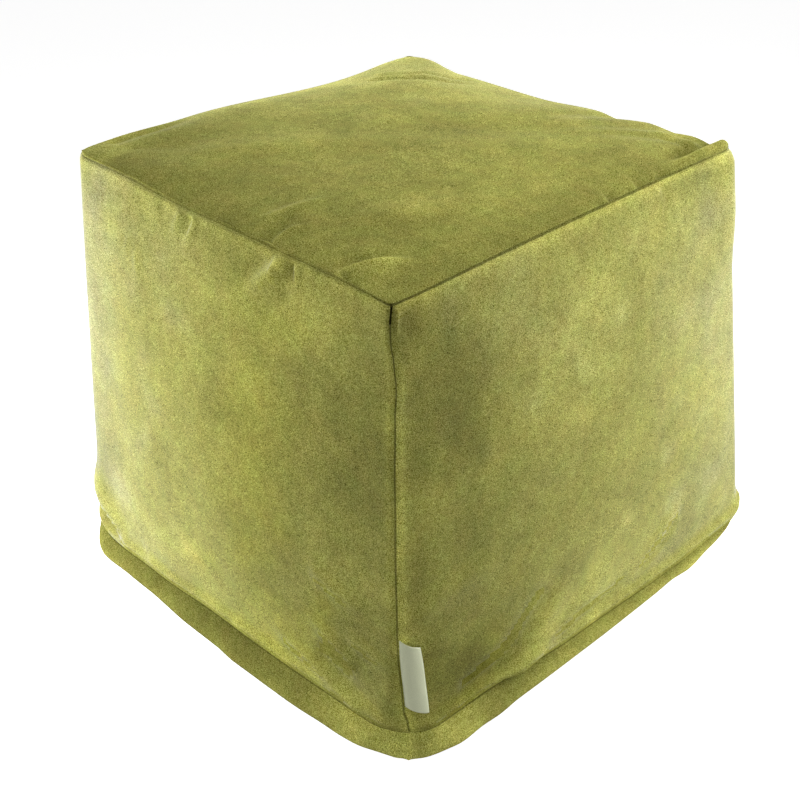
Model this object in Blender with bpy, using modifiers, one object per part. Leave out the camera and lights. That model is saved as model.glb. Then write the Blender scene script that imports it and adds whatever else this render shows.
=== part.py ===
"""Cube pouf stool: a filled, sewn cloth cube that stands on the floor, with a folded label in one seam.

Metres, +Z up. The origin is the middle of the base, on the floor. The front panel faces -Y and the right
panel +X, and the label is caught in the upright seam between them. The casing and its filling are one
solid: a cube grid whose lines are bent onto the sewn form, with rounded upright edges that spread towards
the base, a crowned top, a base panel that rolls up to a low seam, seams drawn in as grooves, and the main
creases of the cloth.
"""

from collections import namedtuple
import math

import bmesh
import bpy
import numpy as np

# Driving sizes
HEIGHT = 0.420  # of the top seams at the front corner
CROWN = 0.013  # how far the middle of the top stands above its seams
CROWN_POWER = 4.0  # a higher power gives a flatter middle with steeper edges
SEAM_REACH = 0.055  # how far in over the top the unevenness of its seams dies out
TOP_HALF = 0.213  # half the width of the top, along its seams
EDGE_RADIUS = 0.006  # rounding over the top seams
LIP_OUT = 0.003  # the side panels' roll just above the base seam
LIP_HEIGHT = 0.014
LIP_SPREAD = 0.009
SEAM_DEPTH = 0.0022
SEAM_HALF_WIDTH = 0.0045

# Grid lines: the cube has this many cells along an edge, and near a seam they lie at these distances.
CELLS = 32
HALF_CELLS = CELLS // 2
NEAR_SEAM = (0.0, 0.0022, 0.005, 0.010, 0.018)
BAND_CELLS = 5  # of a side's cells, those below the base seam
RING_POWER = 8  # how soon the top's grid turns into rings near its seams

# Each side panel, in order round the object: how far its plane lies from the middle at the top seam and at
# the base seam, where the filling has spread it, and how far its middle stands out of that plane at the top
# seam, half way up and at the base seam.
Side = namedtuple("Side", "top_out base_out top_bulge middle_bulge base_bulge")
SIDES = {
    "front": Side(0.2105, 0.244, -0.003, 0.0135, 0.012),
    "right": Side(0.2110, 0.243, -0.002, 0.0130, 0.002),
    "back": Side(0.2190, 0.249, 0.004, 0.0080, 0.007),
    "left": Side(0.2150, 0.244, 0.008, 0.0080, 0.003),
}
SIDE_NAMES = tuple(SIDES)

# The rounding of the upright edges. Each is the edge at the right end of the side panel it is named for. With
# a narrowing of 1 the radius changes evenly on the way up, and with more it narrows soon above the base seam.
Corner = namedtuple("Corner", "at_top at_base at_floor narrowing")
CORNERS = {
    "front": Corner(0.007, 0.042, 0.072, 8.0),
    "right": Corner(0.018, 0.015, 0.080, 1.0),
    "back": Corner(0.042, 0.040, 0.056, 1.0),
    "left": Corner(0.016, 0.042, 0.070, 1.0),
}

# The heights of the top and base seams on their way round: 0 to 1 is the front, 1 to 2 the right, and so on.
TopSeamPoint = namedtuple("TopSeamPoint", "around height")
TOP_SEAM = (
    TopSeamPoint(0.00, 0.430),
    TopSeamPoint(0.15, 0.427),
    TopSeamPoint(0.40, 0.421),
    TopSeamPoint(1.00, 0.420),
    TopSeamPoint(1.50, 0.421),
    TopSeamPoint(2.00, 0.422),
    TopSeamPoint(2.09, 0.417),
    TopSeamPoint(2.14, 0.420),
    TopSeamPoint(2.18, 0.418),
    TopSeamPoint(2.25, 0.4205),
    TopSeamPoint(2.34, 0.4155),
    TopSeamPoint(2.39, 0.418),
    TopSeamPoint(2.55, 0.414),
    TopSeamPoint(2.80, 0.416),
    TopSeamPoint(2.92, 0.424),
    TopSeamPoint(3.00, 0.423),
    TopSeamPoint(3.25, 0.417),
    TopSeamPoint(3.68, 0.428),
    TopSeamPoint(3.86, 0.431),
    TopSeamPoint(4.00, 0.430),
)
# Tucked is how far the base panel is drawn in under the seam, where a side panel hangs over it.
BaseSeamPoint = namedtuple("BaseSeamPoint", "around height tucked")
BASE_SEAM = (
    BaseSeamPoint(0.00, 0.034, 0.004),
    BaseSeamPoint(0.15, 0.022, 0.000),
    BaseSeamPoint(0.30, 0.029, 0.000),
    BaseSeamPoint(0.50, 0.037, 0.000),
    BaseSeamPoint(0.75, 0.036, 0.000),
    BaseSeamPoint(1.00, 0.031, 0.000),
    BaseSeamPoint(1.22, 0.029, 0.000),
    BaseSeamPoint(1.45, 0.017, 0.000),
    BaseSeamPoint(1.75, 0.010, 0.003),
    BaseSeamPoint(1.90, 0.013, 0.009),
    BaseSeamPoint(2.00, 0.028, 0.014),
    BaseSeamPoint(2.20, 0.018, 0.006),
    BaseSeamPoint(2.50, 0.026, 0.000),
    BaseSeamPoint(2.80, 0.020, 0.000),
    BaseSeamPoint(3.00, 0.030, 0.000),
    BaseSeamPoint(3.30, 0.017, 0.000),
    BaseSeamPoint(3.60, 0.024, 0.000),
    BaseSeamPoint(3.85, 0.020, 0.000),
    BaseSeamPoint(4.00, 0.034, 0.004),
)

# The base panel's edge from the base seam down to the floor: how far out, and which part of the height.
BandPoint = namedtuple("BandPoint", "out up")
BAND = (
    BandPoint(-0.005, 0.00),
    BandPoint(0.005, 0.05),
    BandPoint(0.009, 0.22),
    BandPoint(0.009, 0.52),
    BandPoint(0.005, 0.84),
    BandPoint(0.000, 1.00),
)

# Creases and folds, each a soft ridge, or a trough where the height is below 0. On a side panel, along
# runs from its middle towards its right edge and up is the height; on the top they are X and Y.
Crease = namedtuple("Crease", "panel along up turned length half_width height")
CREASES = (
    Crease("top", 0.060, -0.192, 74, 0.070, 0.013, 0.0030),
    Crease("top", 0.155, -0.184, 62, 0.090, 0.013, 0.0032),
    Crease("top", 0.176, -0.180, 48, 0.070, 0.012, -0.0026),
    Crease("top", 0.130, -0.080, 60, 0.200, 0.020, 0.0028),
    Crease("top", -0.060, -0.060, 50, 0.240, 0.024, 0.0024),
    Crease("top", 0.020, 0.060, 48, 0.200, 0.026, -0.0022),
    Crease("top", 0.196, 0.150, 88, 0.070, 0.014, -0.0045),
    Crease("top", 0.150, 0.195, 12, 0.090, 0.014, -0.0040),
    Crease("top", 0.195, 0.190, 40, 0.040, 0.016, 0.0050),
    Crease("top", 0.195, 0.078, -30, 0.060, 0.013, -0.0030),
    Crease("top", -0.120, 0.150, 38, 0.110, 0.014, -0.0036),
    Crease("top", -0.145, 0.170, 38, 0.100, 0.013, 0.0030),
    Crease("top", -0.192, -0.120, 84, 0.100, 0.014, -0.0036),
    Crease("front", -0.040, 0.400, 58, 0.050, 0.012, 0.0024),
    Crease("front", 0.052, 0.388, 46, 0.070, 0.013, 0.0028),
    Crease("front", 0.097, 0.404, 112, 0.044, 0.012, -0.0022),
    Crease("front", -0.212, 0.040, -58, 0.060, 0.013, -0.0045),
    Crease("front", 0.168, 0.155, -14, 0.090, 0.014, 0.0022),
    Crease("front", 0.160, 0.099, -24, 0.090, 0.014, 0.0026),
    Crease("front", 0.156, 0.071, -22, 0.090, 0.014, -0.0022),
    Crease("right", -0.170, 0.160, -4, 0.120, 0.017, 0.0032),
    Crease("right", -0.150, 0.062, 38, 0.110, 0.017, -0.0026),
    Crease("right", -0.090, 0.060, 45, 0.100, 0.015, 0.0028),
    Crease("right", -0.030, 0.074, 14, 0.150, 0.014, 0.0028),
    Crease("right", 0.095, 0.062, 32, 0.130, 0.014, -0.0030),
    Crease("right", 0.130, 0.100, 34, 0.120, 0.014, 0.0026),
    Crease("right", 0.196, 0.384, 80, 0.070, 0.014, 0.0024),
    Crease("back", -0.110, 0.395, 84, 0.070, 0.014, 0.0026),
    Crease("back", 0.060, 0.400, 96, 0.060, 0.013, -0.0024),
    Crease("back", 0.150, 0.100, 35, 0.140, 0.016, -0.0028),
    Crease("back", -0.165, 0.085, -40, 0.120, 0.016, 0.0026),
    Crease("left", 0.090, 0.398, 80, 0.060, 0.013, 0.0026),
    Crease("left", -0.140, 0.120, -32, 0.150, 0.016, 0.0028),
    Crease("left", 0.165, 0.080, 40, 0.110, 0.015, -0.0030),
)

# The label: a ribbon folded at its free edge, with both ends caught in the front right seam.
LABEL_WIDTH = 0.0205
LABEL_LENGTH = 0.069
LABEL_THICKNESS = 0.0012
LABEL_LOW_END = 0.065  # height of its lower end in the seam
LABEL_DROOP = 0.0105  # how much lower the free edge hangs
LABEL_STAND_PLACES = (0.0, 0.1, 0.3, 1.0)  # from the caught edge, 0, to the free edge, 1
LABEL_STAND = (0.0010, 0.0022, 0.0030, 0.0050)  # how far it stands off the cloth at those places
LABEL_CELLS_ACROSS = 10
LABEL_CELLS_UP = 8
WAY_STEP = 0.006  # how far to each side of a point the way out of the cloth is measured

GREEN = (0.235, 0.245, 0.060, 1.0)
GREY = (0.42, 0.44, 0.38, 1.0)


def eased(place, places, values):
    """The values at their places, joined by curves that are level at each."""
    segment = np.clip(np.searchsorted(places, place, side="right") - 1, 0, len(places) - 2)
    low, high = places[segment], places[segment + 1]
    share = np.clip((place - low) / (high - low), 0, 1)
    share = share * share * (3 - 2 * share)
    return values[segment] + share * (values[segment + 1] - values[segment])


def line_distance(line, last_line, whole):
    """How far grid line number `line` lies from its seam, when line `last_line` lies `whole` from it."""
    dense = len(NEAR_SEAM) - 1
    near = np.interp(line, np.arange(dense + 1), NEAR_SEAM)
    even = NEAR_SEAM[-1] + (line - dense) / (last_line - dense) * (whole - NEAR_SEAM[-1])
    return np.where(line <= dense, near, even)


class CubeGrid:
    """Where each point of the cube grid lies on the sewn casing, before seams and creases."""

    def __init__(self, points):
        lines = np.rint((points + 0.5) * CELLS)
        flat = lines[:, :2] / HALF_CELLS - 1
        self.flat = flat
        self.ring = np.abs(flat).max(axis=1)
        self.row = lines[:, 2]
        self.on_top = self.row == CELLS
        self.on_base = self.row == 0
        square = flat / np.maximum(self.ring, 1e-9)[:, None]
        x, y = square.T
        # Which side a point belongs to, and where it is on it, from -1 at its left edge to 1.
        self.side = np.select([y == -1, x == 1, y == 1], [0, 1, 2], 3)
        self.along = np.select([y == -1, x == 1, y == 1], [x, y, -x], -y)
        self.panels = {
            "front": (flat[:, 1] == -1),
            "right": (flat[:, 0] == 1),
            "back": (flat[:, 1] == 1),
            "left": (flat[:, 0] == -1),
            "top": self.on_top,
        }

    def around(self):
        """The place on the way round, from 0 to 4."""
        return self.side + (self.along + 1) / 2

    def on_seam(self, seam, column):
        """The value of a seam table's column at each point's place on the way round."""
        table = np.array(seam)
        return eased(self.around(), table[:, 0], table[:, seam[0]._fields.index(column)])

    def panel_share(self):
        """How far up its side panel a point lies: 0 at the base seam, 1 at the top seam."""
        rows = CELLS - BAND_CELLS
        row = np.clip(self.row - BAND_CELLS, 0, rows)
        whole = HEIGHT - BASE_SEAM[0].height
        from_base = line_distance(np.minimum(row, rows / 2), rows / 2, whole / 2)
        from_top = line_distance(np.minimum(rows - row, rows / 2), rows / 2, whole / 2)
        return np.where(row <= rows / 2, from_base, whole - from_top) / whole

    def side_table(self, shift):
        """For each point, the row of SIDES of its side, or of the next one on the way round."""
        return np.array([SIDES[name] for name in SIDE_NAMES])[(self.side + shift) % 4]

    def corner_table(self):
        """For each point, the row of CORNERS of the nearest upright edge."""
        table = np.array([CORNERS[name] for name in SIDE_NAMES])
        return table[np.where(self.along > 0, self.side, self.side - 1) % 4]

    def section(self, share, in_band, grown):
        """(x, y) on a rectangle with rounded corners and bulging sides, and the distance to the nearest corner."""
        own = self.side_table(0)
        neighbour = np.where((self.along > 0)[:, None], self.side_table(1), self.side_table(-1))
        corner = self.corner_table()
        out = own[:, 1] + share * (own[:, 0] - own[:, 1]) + grown
        end = neighbour[:, 1] + share * (neighbour[:, 0] - neighbour[:, 1]) + grown
        bulge = own[:, 4] + share * (own[:, 2] - own[:, 4]) + 4 * share * (1 - share) * own[:, 3]
        above = corner[:, 0] + (1 - share) ** corner[:, 3] * (corner[:, 1] - corner[:, 0])
        below = corner[:, 1] + (1 - self.row / BAND_CELLS) * (corner[:, 2] - corner[:, 1])
        radius = np.where(in_band, below, above)
        arc = math.pi / 4 * radius
        line = (1 - np.abs(self.along)) * HALF_CELLS
        from_corner = line_distance(line, HALF_CELLS, arc + end - radius)
        angle = np.maximum(math.pi / 4 - from_corner / radius, 0)
        along = end - radius + radius * np.sin(angle) - np.maximum(from_corner - arc, 0)
        out = out - radius + radius * np.cos(angle) + bulge * (1 - (along / end) ** 2)
        along = along * np.sign(self.along)
        x = np.select([self.side == 0, self.side == 1, self.side == 2], [along, out, -along], -out)
        y = np.select([self.side == 0, self.side == 1, self.side == 2], [-out, along, out], -along)
        return x, y, from_corner

    def place(self):
        """(x, y, z) of every point, with its distances to the top, base and upright seams."""
        share = self.panel_share()
        top_height = self.on_seam(TOP_SEAM, "height")
        seam_height = self.on_seam(BASE_SEAM, "height")
        panel_height = top_height - seam_height
        below_top = np.where(self.on_top, 0, (1 - share) * panel_height)
        above_base = share * panel_height

        # The rounding over the top seam, which lies at its middle: the angle is 0 where it meets the side.
        angle = np.maximum(math.pi / 4 - below_top / EDGE_RADIUS, 0)
        inset = EDGE_RADIUS * (1 - np.cos(angle))
        lip = LIP_OUT * np.exp(-(((above_base - LIP_HEIGHT) / LIP_SPREAD) ** 2))
        band = np.array(BAND)
        band_row = np.clip(self.row, 0, BAND_CELLS)
        out = np.interp(band_row, np.arange(BAND_CELLS + 1), band[:, 0])
        up = np.interp(band_row, np.arange(BAND_CELLS + 1), band[:, 1])
        out = out - (1 - up) * self.on_seam(BASE_SEAM, "tucked")
        in_band = self.row < BAND_CELLS
        grown = np.where(in_band, out, np.where(self.on_top, 0, lip) - inset)
        x, y, from_corner = self.section(share, in_band, grown)
        z = np.where(in_band, up * seam_height, seam_height + above_base)

        # The top: an even grid in the middle that turns into rings of the seam's outline near its edge.
        inwards = line_distance((1 - self.ring) * HALF_CELLS, HALF_CELLS, TOP_HALF)
        scale = np.where(self.on_top, 1 - inwards / TOP_HALF, np.where(self.on_base, self.ring, 1))
        even = TOP_HALF - line_distance((1 - np.abs(self.flat)) * HALF_CELLS, HALF_CELLS, TOP_HALF)
        even = even * np.sign(self.flat)
        ringed = np.where(self.on_top, self.ring**RING_POWER, 1)
        x = ringed * x * scale + (1 - ringed) * even[:, 0]
        y = ringed * y * scale + (1 - ringed) * even[:, 1]
        angle = np.minimum(math.pi / 4 + inwards / EDGE_RADIUS, math.pi / 2)
        over_edge = EDGE_RADIUS * (np.sin(angle) - math.sin(math.pi / 4))
        across, deep = np.abs(x / TOP_HALF), np.abs(y / TOP_HALF)
        crown = CROWN * (1 - np.minimum(across, 1) ** CROWN_POWER) * (1 - np.minimum(deep, 1) ** CROWN_POWER)
        uneven = (top_height - HEIGHT) * np.exp(-((inwards / SEAM_REACH) ** 2))
        z = np.where(self.on_top, HEIGHT + uneven + over_edge + crown, z)

        from_top_seam = np.where(self.on_top, inwards, below_top)
        band_drop = np.where(in_band, (1 - up) * seam_height, above_base)
        from_base_seam = np.where(self.on_top, 1, band_drop)
        upright = np.where(self.on_top | in_band, 1, from_corner)
        return np.column_stack([x, y, z]), (from_top_seam, from_base_seam, upright)


def seam_groove(distances):
    nearest = np.minimum.reduce(distances)
    return -SEAM_DEPTH * np.clip(1 - nearest / SEAM_HALF_WIDTH, 0, 1) ** 1.5


def panel_coordinates(panel, points):
    x, y, z = points.T
    return {"front": (x, z), "right": (y, z), "back": (-x, z), "left": (-y, z), "top": (x, y)}[panel]


def crease_height(crease, points):
    along, up = panel_coordinates(crease.panel, points)
    cosine, sine = math.cos(math.radians(crease.turned)), math.sin(math.radians(crease.turned))
    lengthways = (along - crease.along) * cosine + (up - crease.up) * sine
    sideways = (up - crease.up) * cosine - (along - crease.along) * sine
    taper = np.exp(-((2 * lengthways / crease.length) ** 4))
    return crease.height * taper * np.exp(-((sideways / crease.half_width) ** 2))


def material(name, colour, roughness):
    made = bpy.data.materials.new(name)
    made.use_nodes = True
    shader = made.node_tree.nodes["Principled BSDF"]
    shader.inputs["Base Color"].default_value = colour
    shader.inputs["Roughness"].default_value = roughness
    shader.inputs["Metallic"].default_value = 0.0
    return made


def add_object(name, mesh, collection, finish):
    made = bpy.data.objects.new(name, mesh)
    mesh.materials.append(finish)
    mesh.shade_smooth()
    collection.objects.link(made)
    return made


def grid_points(bm):
    return np.array([vertex.co[:] for vertex in bm.verts])


def move_points(bm, points):
    for vertex, point in zip(bm.verts, points):
        vertex.co = point


def make_body(collection):
    bm = bmesh.new()
    bmesh.ops.create_cube(bm, size=1.0)
    bmesh.ops.subdivide_edges(bm, edges=bm.edges[:], cuts=CELLS - 1, use_grid_fill=True)
    grid = CubeGrid(grid_points(bm))
    points, distances = grid.place()
    move_points(bm, points)
    bm.normal_update()
    normals = np.array([vertex.normal[:] for vertex in bm.verts])
    raised = seam_groove(distances)
    for crease in CREASES:
        raised = raised + np.where(grid.panels[crease.panel], crease_height(crease, points), 0)
    # The base panel keeps its roll and its flat underside.
    raised = np.where(grid.row < BAND_CELLS, 0, raised)
    move_points(bm, points + normals * raised[:, None])
    mesh = bpy.data.meshes.new("pouf_body")
    bm.to_mesh(mesh)
    bm.free()
    return add_object("pouf_body", mesh, collection, material("green_velvet", GREEN, 0.9))


def right_panel_surface(body):
    """The grid points of the front right edge's right side, as (lines from the seam, rows up, xyz)."""
    bm = bmesh.new()
    bmesh.ops.create_cube(bm, size=1.0)
    bmesh.ops.subdivide_edges(bm, edges=bm.edges[:], cuts=CELLS - 1, use_grid_fill=True)
    lines = np.rint((grid_points(bm) + 0.5) * CELLS).astype(int)
    bm.free()
    points = np.array([vertex.co[:] for vertex in body.data.vertices])
    surface = np.zeros((HALF_CELLS, CELLS + 1, 3))
    wanted = (lines[:, 0] == CELLS) & (lines[:, 1] < HALF_CELLS)
    surface[lines[wanted, 1], lines[wanted, 2]] = points[wanted]
    return surface


def point_on_surface(surface, height, distance):
    """The point of the surface at this height and this far from the seam, and the way out of it."""
    level = []
    for line in surface:
        rows = line[BAND_CELLS:]
        level.append([np.interp(height, rows[:, 2], rows[:, axis]) for axis in range(2)])
    level = np.array(level)
    steps = np.linalg.norm(np.diff(level, axis=0), axis=1)
    passed = np.concatenate([[0], np.cumsum(steps)])
    place = np.array([np.interp(distance, passed, level[:, axis]) for axis in range(2)])
    before, after = max(distance - WAY_STEP, 0), distance + WAY_STEP
    along = np.array([np.interp(after, passed, line) - np.interp(before, passed, line) for line in level.T])
    along = along / np.linalg.norm(along)
    return place, np.array([along[1], -along[0]])


def make_label(collection, body):
    surface = right_panel_surface(body)
    bm = bmesh.new()
    bmesh.ops.create_grid(bm, x_segments=LABEL_CELLS_ACROSS, y_segments=LABEL_CELLS_UP, size=0.5)
    for vertex in bm.verts:
        across, up = vertex.co.x + 0.5, vertex.co.y + 0.5
        height = LABEL_LOW_END + up * LABEL_LENGTH
        place, way_out = point_on_surface(surface, height, across * LABEL_WIDTH)
        stand = np.interp(across, LABEL_STAND_PLACES, LABEL_STAND)
        vertex.co.xy = place + way_out * stand
        vertex.co.z = height - LABEL_DROOP * across
    mesh = bpy.data.meshes.new("seam_label")
    bm.to_mesh(mesh)
    bm.free()
    label = add_object("seam_label", mesh, collection, material("grey_ribbon", GREY, 0.5))
    thickness = label.modifiers.new("thickness", "SOLIDIFY")
    thickness.thickness = LABEL_THICKNESS
    thickness.offset = 0.0
    return label


def main():
    for old in list(bpy.data.objects):
        bpy.data.objects.remove(old, do_unlink=True)
    collection = bpy.data.collections.new("cube_pouf_stool")
    bpy.context.scene.collection.children.link(collection)
    body = make_body(collection)
    make_label(collection, body)


main()
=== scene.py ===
"""The looks of the cube pouf stool: green velvet panels sewn into a filled cube, and a bare woven label.

Metres, +Z up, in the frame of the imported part: the front panel faces -Y and the right panel +X. The body is
the solid's sewn form on a finer grid, with its seams, puckers and creases at their real size.
"""

from collections import namedtuple
import math

import bmesh
import bpy
from mathutils import Matrix, Vector, noise
import numpy as np


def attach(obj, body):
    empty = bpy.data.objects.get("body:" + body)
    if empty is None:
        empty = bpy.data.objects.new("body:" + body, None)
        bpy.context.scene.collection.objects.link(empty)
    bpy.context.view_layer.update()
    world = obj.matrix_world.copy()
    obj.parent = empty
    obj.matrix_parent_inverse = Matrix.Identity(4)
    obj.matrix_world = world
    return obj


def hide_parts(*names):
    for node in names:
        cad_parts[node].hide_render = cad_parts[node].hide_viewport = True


WHITE = (1, 1, 1, 1)


def table_of(kind, *lines):
    """A table with one `kind` for each line of columns."""
    return tuple(kind(*line) for line in lines)


# The sewn form, as in the part's source but for a lower, narrower lip
HEIGHT = 0.420  # of the top seams at the front corner
CROWN = 0.013  # how far the middle of the top stands above its seams
CROWN_POWER = 4.0
SEAM_REACH = 0.055  # how far in over the top the unevenness of its seams dies out
TOP_HALF = 0.213
EDGE_RADIUS = 0.006  # of the rounding over the top seam
LIP_OUT = 0.003  # how far the side panels swell out just over the base seam
LIP_HEIGHT = 0.009
LIP_SPREAD = 0.007

# The grid: cells along an edge of the cube, and how far from a seam its nearest lines lie
CELLS = 124
HALF_CELLS = CELLS // 2
NEAR_SEAM = (0.0, 0.0005, 0.0011, 0.0018, 0.0027, 0.0038, 0.0052, 0.0070, 0.0092, 0.0118, 0.0148, 0.0182)
BAND_CELLS = 16
BAND_EASE = 1.35  # above 1 its rows draw together towards the base seam
RISING_CELLS = 8  # the band's lowest ones, over which the unevenness begins above the flat underside
RING_POWER = 8  # how soon the top's grid turns into rings near its seams

Side = namedtuple("Side", "top_out base_out top_bulge middle_bulge base_bulge")
SIDES = {
    "front": Side(0.2105, 0.244, -0.003, 0.0135, 0.012),
    "right": Side(0.2110, 0.243, -0.002, 0.0130, 0.002),
    "back": Side(0.2190, 0.249, 0.004, 0.0080, 0.007),
    "left": Side(0.2150, 0.244, 0.008, 0.0080, 0.003),
}
SIDE_NAMES = tuple(SIDES)

# The rounding of the upright edges, each at the right end of the side panel it is named for
Corner = namedtuple("Corner", "at_top at_base at_floor narrowing")
CORNERS = {
    "front": Corner(0.007, 0.042, 0.072, 8.0),
    "right": Corner(0.018, 0.015, 0.080, 1.0),
    "back": Corner(0.042, 0.040, 0.056, 1.0),
    "left": Corner(0.016, 0.042, 0.070, 1.0),
}

# The seams on their way round: 0 to 1 is the front, 1 to 2 the right, and so on
TopSeamPoint = namedtuple("TopSeamPoint", "around height")
TOP_SEAM = table_of(
    TopSeamPoint,
    (0.0, 0.43), (0.15, 0.427), (0.4, 0.421), (1.0, 0.42), (1.5, 0.421), (2.0, 0.422),
    (2.09, 0.417), (2.14, 0.42), (2.18, 0.418), (2.25, 0.4205), (2.34, 0.4155), (2.39, 0.418),
    (2.55, 0.414), (2.8, 0.416), (2.92, 0.424), (3.0, 0.423), (3.25, 0.417), (3.68, 0.428),
    (3.86, 0.431), (4.0, 0.43),
)
BaseSeamPoint = namedtuple("BaseSeamPoint", "around height tucked")
BASE_SEAM = table_of(
    BaseSeamPoint,
    (0.0, 0.034, 0.004), (0.15, 0.022, 0.0), (0.3, 0.029, 0.0), (0.5, 0.037, 0.0),
    (0.75, 0.036, 0.0), (1.0, 0.031, 0.0), (1.22, 0.029, 0.0), (1.45, 0.017, 0.0),
    (1.75, 0.01, 0.003), (1.9, 0.013, 0.009), (2.0, 0.028, 0.014), (2.2, 0.018, 0.006),
    (2.5, 0.026, 0.0), (2.8, 0.02, 0.0), (3.0, 0.03, 0.0), (3.3, 0.017, 0.0),
    (3.6, 0.024, 0.0), (3.85, 0.02, 0.0), (4.0, 0.034, 0.004),
)

# The base panel's edge from the floor up to the base seam: how far out, and which part of the height
BandPoint = namedtuple("BandPoint", "out up")
BAND = table_of(
    BandPoint,
    (-0.005, 0.0),
    (0.006, 0.05),
    (0.01, 0.2),
    (0.0088, 0.45),
    (0.005, 0.76),
    (0.0, 1.0),
)
# How its lower edge on the floor wavers outwards on the way round
FloorEdgePoint = namedtuple("FloorEdgePoint", "around out")
FLOOR_EDGE = table_of(
    FloorEdgePoint,
    (0.0, 0.0), (0.14, 0.0), (0.22, -0.003), (0.31, -0.0046), (0.42, -0.0026),
    (0.5, -0.0024), (0.56, 0.0002), (0.7, 0.0), (0.8, -0.0024), (0.89, -0.0046),
    (0.94, -0.0008), (1.0, 0.0012), (1.07, 0.0006), (1.12, -0.0008), (1.16, 0.001),
    (1.2, 0.0), (1.24, 0.0012), (1.29, -0.0008), (1.46, -0.0018), (1.66, -0.002),
    (1.72, -0.0032), (1.77, -0.0004), (1.84, -0.0024), (1.96, -0.0044), (2.1, -0.001),
    (2.45, 0.0016), (2.75, -0.0022), (3.1, 0.001), (3.45, -0.0024), (3.75, 0.0012),
    (4.0, 0.0),
)

# How far a point lies from the nearest seam of each kind
FromSeam = namedtuple("FromSeam", "top base upright")

# Seams: two rolls of cloth that meet in a narrow valley
SEAM_DEPTH = 0.0014
SEAM_HALF_WIDTH = 0.0012
DRAWN_DEPTH = 0.0010  # the softer draw-in of the filled panel beside it
DRAWN_WIDTH = 0.010
SLIT_DEPTH = 0.0045  # the open top end of the front right seam
SLIT_LENGTH = 0.017

# How far the upright seam at the front right edge wavers to the right, as seen from outside
SeamShift = namedtuple("SeamShift", "height shift")
FRONT_RIGHT_SEAM = table_of(
    SeamShift,
    (0.0, 0.0025), (0.03, 0.003), (0.044, 0.0021), (0.057, -0.0014), (0.128, -0.0049),
    (0.187, -0.0048), (0.275, -0.0035), (0.328, -0.0021), (0.355, -0.0006), (0.375, -0.0019),
    (0.39, -0.0038), (0.402, -0.0039), (0.42, -0.0026),
)
SHIFT_SPREAD = 0.024  # how far round the edge the cloth moves with its seam

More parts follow.
